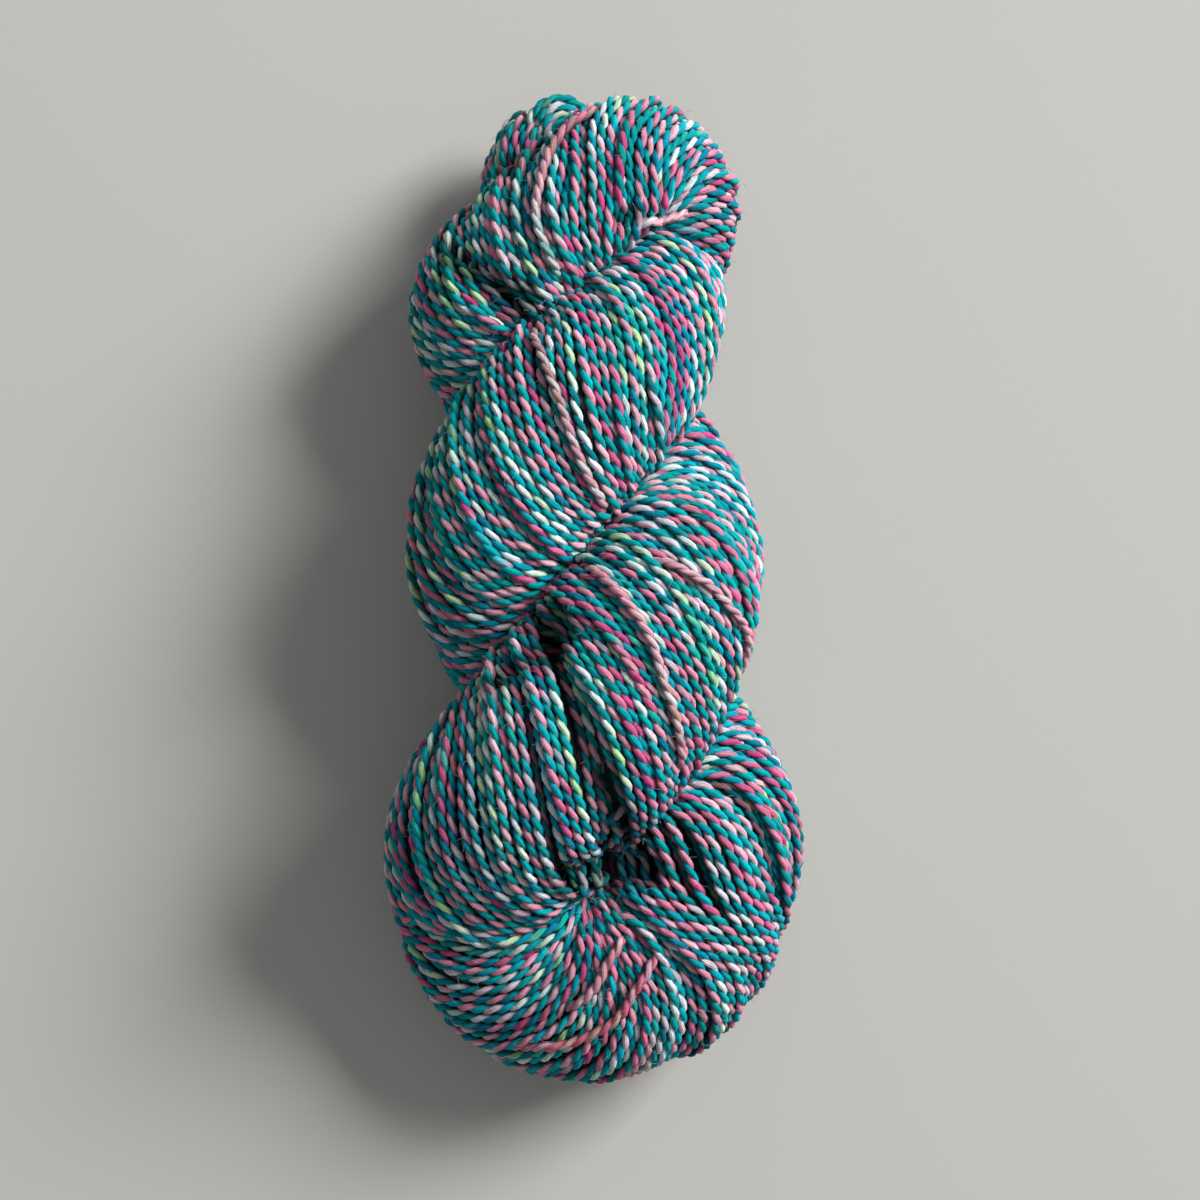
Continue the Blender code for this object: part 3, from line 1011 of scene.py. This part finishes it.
def fuzz_raiser():
    """A tree that stands a bent fibre on every point."""
    tree, node, given = new_tree("raise_fuzz", FUZZ_INPUTS)
    bend = {"Resolution": 2, "Start": (0, 0, 0), "Middle": (0.35, 0, 0.6), "End": (1.0, 0.2, 0.55)}
    fibre = node("GeometryNodeCurveQuadraticBezier", bend)
    size = node("ShaderNodeCombineXYZ", {axis: given["Length"] for axis in range(3)})
    fibre = node("GeometryNodeTransform", {"Geometry": fibre, "Scale": size})
    radius = node("ShaderNodeMath", {0: given["Thickness"], 1: 0.5}, operation="MULTIPLY")
    section = {"Resolution": 3, "Radius": radius}
    section = node("GeometryNodeCurvePrimitiveCircle", section, "Curve")
    sweep = {"Curve": fibre, "Profile Curve": section, "Fill Caps": True}
    tube = node("GeometryNodeCurveToMesh", sweep)
    outward = node(READ, {"Name": "outward"}, data_type="FLOAT_VECTOR")
    stand = node("FunctionNodeAlignRotationToVector", {"Vector": outward}, axis="Z")
    angle = node("FunctionNodeRandomValue", {3: math.tau, 8: given["Seed"]}, 1, data_type="FLOAT")
    turn = node("FunctionNodeAxisAngleToRotation", {"Axis": (0, 0, 1), "Angle": angle})
    rotation = node("FunctionNodeRotateRotation", {0: stand, 1: turn}, rotation_space="LOCAL")
    sizes = {2: FUZZ_SIZES[0], 3: FUZZ_SIZES[1], 8: given["Seed"]}
    scale = node("FunctionNodeRandomValue", sizes, 1, data_type="FLOAT")
    hairs = {"Points": given["Geometry"], "Instance": tube, "Rotation": rotation, "Scale": scale}
    hairs = node("GeometryNodeInstanceOnPoints", hairs)
    hairs = node("GeometryNodeRealizeInstances", {"Geometry": hairs})
    hairs = node("GeometryNodeSetMaterial", {"Geometry": hairs, "Material": given["Material"]})
    node("NodeGroupOutput", {"Geometry": hairs}, None)
    return tree


def fuzz_mesh():
    """Points on the strands' tops that carry which way is out."""
    usable = np.flatnonzero((layer_of[strand] == 0) & (points[:, 2] > FUZZ_ABOVE))
    which = rng.choice(usable, FUZZ_COUNT, replace=False)
    mesh = bpy.data.meshes.new("fuzz_points")
    mesh.vertices.add(len(which))
    mesh.vertices.foreach_set("co", ((points[which] + FUZZ_ROOT * outward[which]) * MM).ravel())
    stored = mesh.attributes.new("outward", "FLOAT_VECTOR", "POINT")
    stored.data.foreach_set("vector", outward[which].astype(np.float32).ravel())
    return mesh


def loose_fibre():
    """A single wool fibre catches the light; its colour is its dye painted paler than the mass it comes from,
    as painted highlight.
    """
    material = bpy.data.materials.new("loose_wool_fibre")
    material.use_nodes = True
    tree = material.node_tree
    shader = tree.nodes["Principled BSDF"]
    place = add_node(tree, "ShaderNodeTexCoord", output="Object")
    noise = {"Vector": place, "Scale": 90.0, "Detail": 2.0, "Roughness": 0.5}
    dye = add_node(tree, "ShaderNodeTexNoise", noise, "Fac")
    stops = ((0.38, "4FB8B8"), (0.5, "9CCFD0"), (0.62, "E0A0B6"))
    dyed = add_node(tree, "ShaderNodeValToRGB", {0: dye}, "Color", stops)
    tree.links.new(dyed, shader.inputs["Base Color"])
    shader.inputs["Roughness"].default_value = 0.7
    return material


fuzz_values = {
    "Length": FUZZ_LENGTH * MM,
    "Thickness": FUZZ_THICKNESS * MM,
    "Seed": 3,
    "Material": loose_fibre(),
}
pieces.append(made_piece("fuzz", fuzz_mesh(), fuzz_raiser(), fuzz_values))
print("fuzz of", FUZZ_COUNT, "fibres,", triangle_count(pieces[-1]), "triangles")

# %% [markdown]
# ## The core
# Deep between the strands there is only more wool, in shadow. A closed tube a little under the inner
# layer stops light and sight there. It is one swept mesh with felted wool on it, coloured near-black as
# painted shadow.

# %% The core under the strands
CORE_DEPTH = 5.6
CORE_SIDES = 32
CORE_STEP = 4
CORE_INSET = 8  # mm that the core stops short of the bundle's tips
CORE_FLOOR = 3.6  # mm over the surface, the lowest the core goes


def painted_shadow_wool():
    """Painted shadow for wool that no light reaches: near black teal, mottled as the strands that cross
    there.
    """
    material = bpy.data.materials.new("painted_shadow_wool")
    material.use_nodes = True
    tree = material.node_tree
    shader = tree.nodes["Principled BSDF"]
    place = add_node(tree, "ShaderNodeTexCoord", output="Object")
    noise = {"Vector": place, "Scale": 420.0, "Detail": 4.0, "Roughness": 0.6}
    mottle = add_node(tree, "ShaderNodeTexNoise", noise, "Fac")
    # painted shadow: these near-black colours stand for the shade deep in the skein, not the wool's own dye
    stops = ((0.3, "011314"), (0.7, "042A2C"))
    dark = add_node(tree, "ShaderNodeValToRGB", {0: mottle}, "Color", stops)
    tree.links.new(dark, shader.inputs["Base Color"])
    bump = add_node(tree, "ShaderNodeBump", {"Strength": 0.5, "Distance": 0.001, "Height": mottle})
    tree.links.new(bump, shader.inputs["Normal"])
    shader.inputs["Roughness"].default_value = 0.95
    return material


def core_mesh():
    """Rings round the bundle, under the strands, closed to a point at each end."""
    along = bundle.along[CORE_INSET:-CORE_INSET:CORE_STEP]
    around = np.linspace(0, math.tau, CORE_SIDES, endpoint=False)
    rings, _ = on_bundle(along[:, None], around[None, :], CORE_DEPTH)
    rings = settled(rings) + SHIFT
    rings = opened(rings.reshape(-1, 3)).reshape(rings.shape)
    rings[..., 2] = np.maximum(rings[..., 2], CORE_FLOOR)
    tips = np.stack([rings[0].mean(0), rings[-1].mean(0)])
    coordinates = np.concatenate([rings.reshape(-1, 3), tips]) * MM
    ring_start = np.arange(len(along) - 1)[:, None] * CORE_SIDES
    first = ring_start + np.arange(CORE_SIDES)
    after = ring_start + (np.arange(CORE_SIDES) + 1) % CORE_SIDES
    quads = np.stack([first, after, after + CORE_SIDES, first + CORE_SIDES], -1).reshape(-1, 4)
    faces = quads.tolist()
    total = len(along) * CORE_SIDES
    for k in range(CORE_SIDES):
        following = (k + 1) % CORE_SIDES
        faces.append((total, following, k))
        faces.append((total + 1, total - CORE_SIDES + k, total - CORE_SIDES + following))
    mesh = bpy.data.meshes.new("core")
    mesh.from_pydata(coordinates.tolist(), [], faces)
    mesh.validate()
    mesh.materials.append(painted_shadow_wool())
    mesh.shade_smooth()
    return mesh


core = bpy.data.objects.new("core", core_mesh())
bpy.context.scene.collection.objects.link(core)
pieces.append(core)
print("the core has", len(core.data.polygons), "faces")

# %% [markdown]
# ## Every piece rides on the frame
# The skein is one body, so every piece rides on the root, and the plain solid is hidden.

# %% Put every piece on the root and hide the solid
for ob in pieces:
    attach(ob, "root")
    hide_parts(NODE)
print(len(pieces), "pieces ride on the root")

# %% [markdown]
# ## Surface, light and camera
# A pale matt surface, one big soft light from the upper right, a weak fill, and a camera that looks
# straight down, far enough off that the hank shows no strong perspective.

# %% The surface
def plain_surface():
    """A pale matt surface that takes the shadow and no attention."""
    material = bpy.data.materials.new("pale_paper")
    material.use_nodes = True
    shader = material.node_tree.nodes["Principled BSDF"]
    shader.inputs["Base Color"].default_value = linear("CFCDC7")
    shader.inputs["Roughness"].default_value = 0.9
    return material


FLOOR_HALF = 2.0
corners = [(x * FLOOR_HALF, y * FLOOR_HALF, 0) for x, y in ((-1, -1), (1, -1), (1, 1), (-1, 1))]
floor_mesh = bpy.data.meshes.new("surface")
floor_mesh.from_pydata(corners, [], [(0, 1, 2, 3)])
floor_mesh.materials.append(plain_surface())
surface = bpy.data.objects.new("surface", floor_mesh)
bpy.context.scene.collection.objects.link(surface)

# %% The light
def area_light(name, place, size, power):
    """A square light that faces the hank."""
    light = bpy.data.lights.new(name, "AREA")
    light.size = size
    light.energy = power
    ob = bpy.data.objects.new(name, light)
    ob.location = place
    ob.rotation_euler = Vector(place).to_track_quat("Z", "Y").to_euler()
    bpy.context.scene.collection.objects.link(ob)
    return ob


area_light("window", (3.0, 1.95, 2.0), 1.8, 232.0)
world = bpy.data.worlds.new("room")
world.use_nodes = True
world.node_tree.nodes["Background"].inputs["Color"].default_value = linear("E6E8EA")
world.node_tree.nodes["Background"].inputs["Strength"].default_value = 0.28
bpy.context.scene.world = world

# %% The camera
VIEW_WIDTH = 314.4  # mm of the hank's own plane across the picture
VIEW_PLANE = 28.0
CAMERA_HEIGHT = 850.0
SENSOR = 36.0
camera = bpy.data.cameras.new("camera")
camera.sensor_width = SENSOR
camera.lens = SENSOR * (CAMERA_HEIGHT - VIEW_PLANE) / VIEW_WIDTH
camera_ob = bpy.data.objects.new("camera", camera)
aim = np.array((0.8, -2.9)) + SHIFT[:2]
camera_ob.location = (aim[0] * MM, aim[1] * MM, CAMERA_HEIGHT * MM)
bpy.context.scene.collection.objects.link(camera_ob)
bpy.context.scene.camera = camera_ob
bpy.context.scene.view_settings.view_transform = "Standard"
print("the camera looks straight down with a", round(camera.lens), "mm lens")
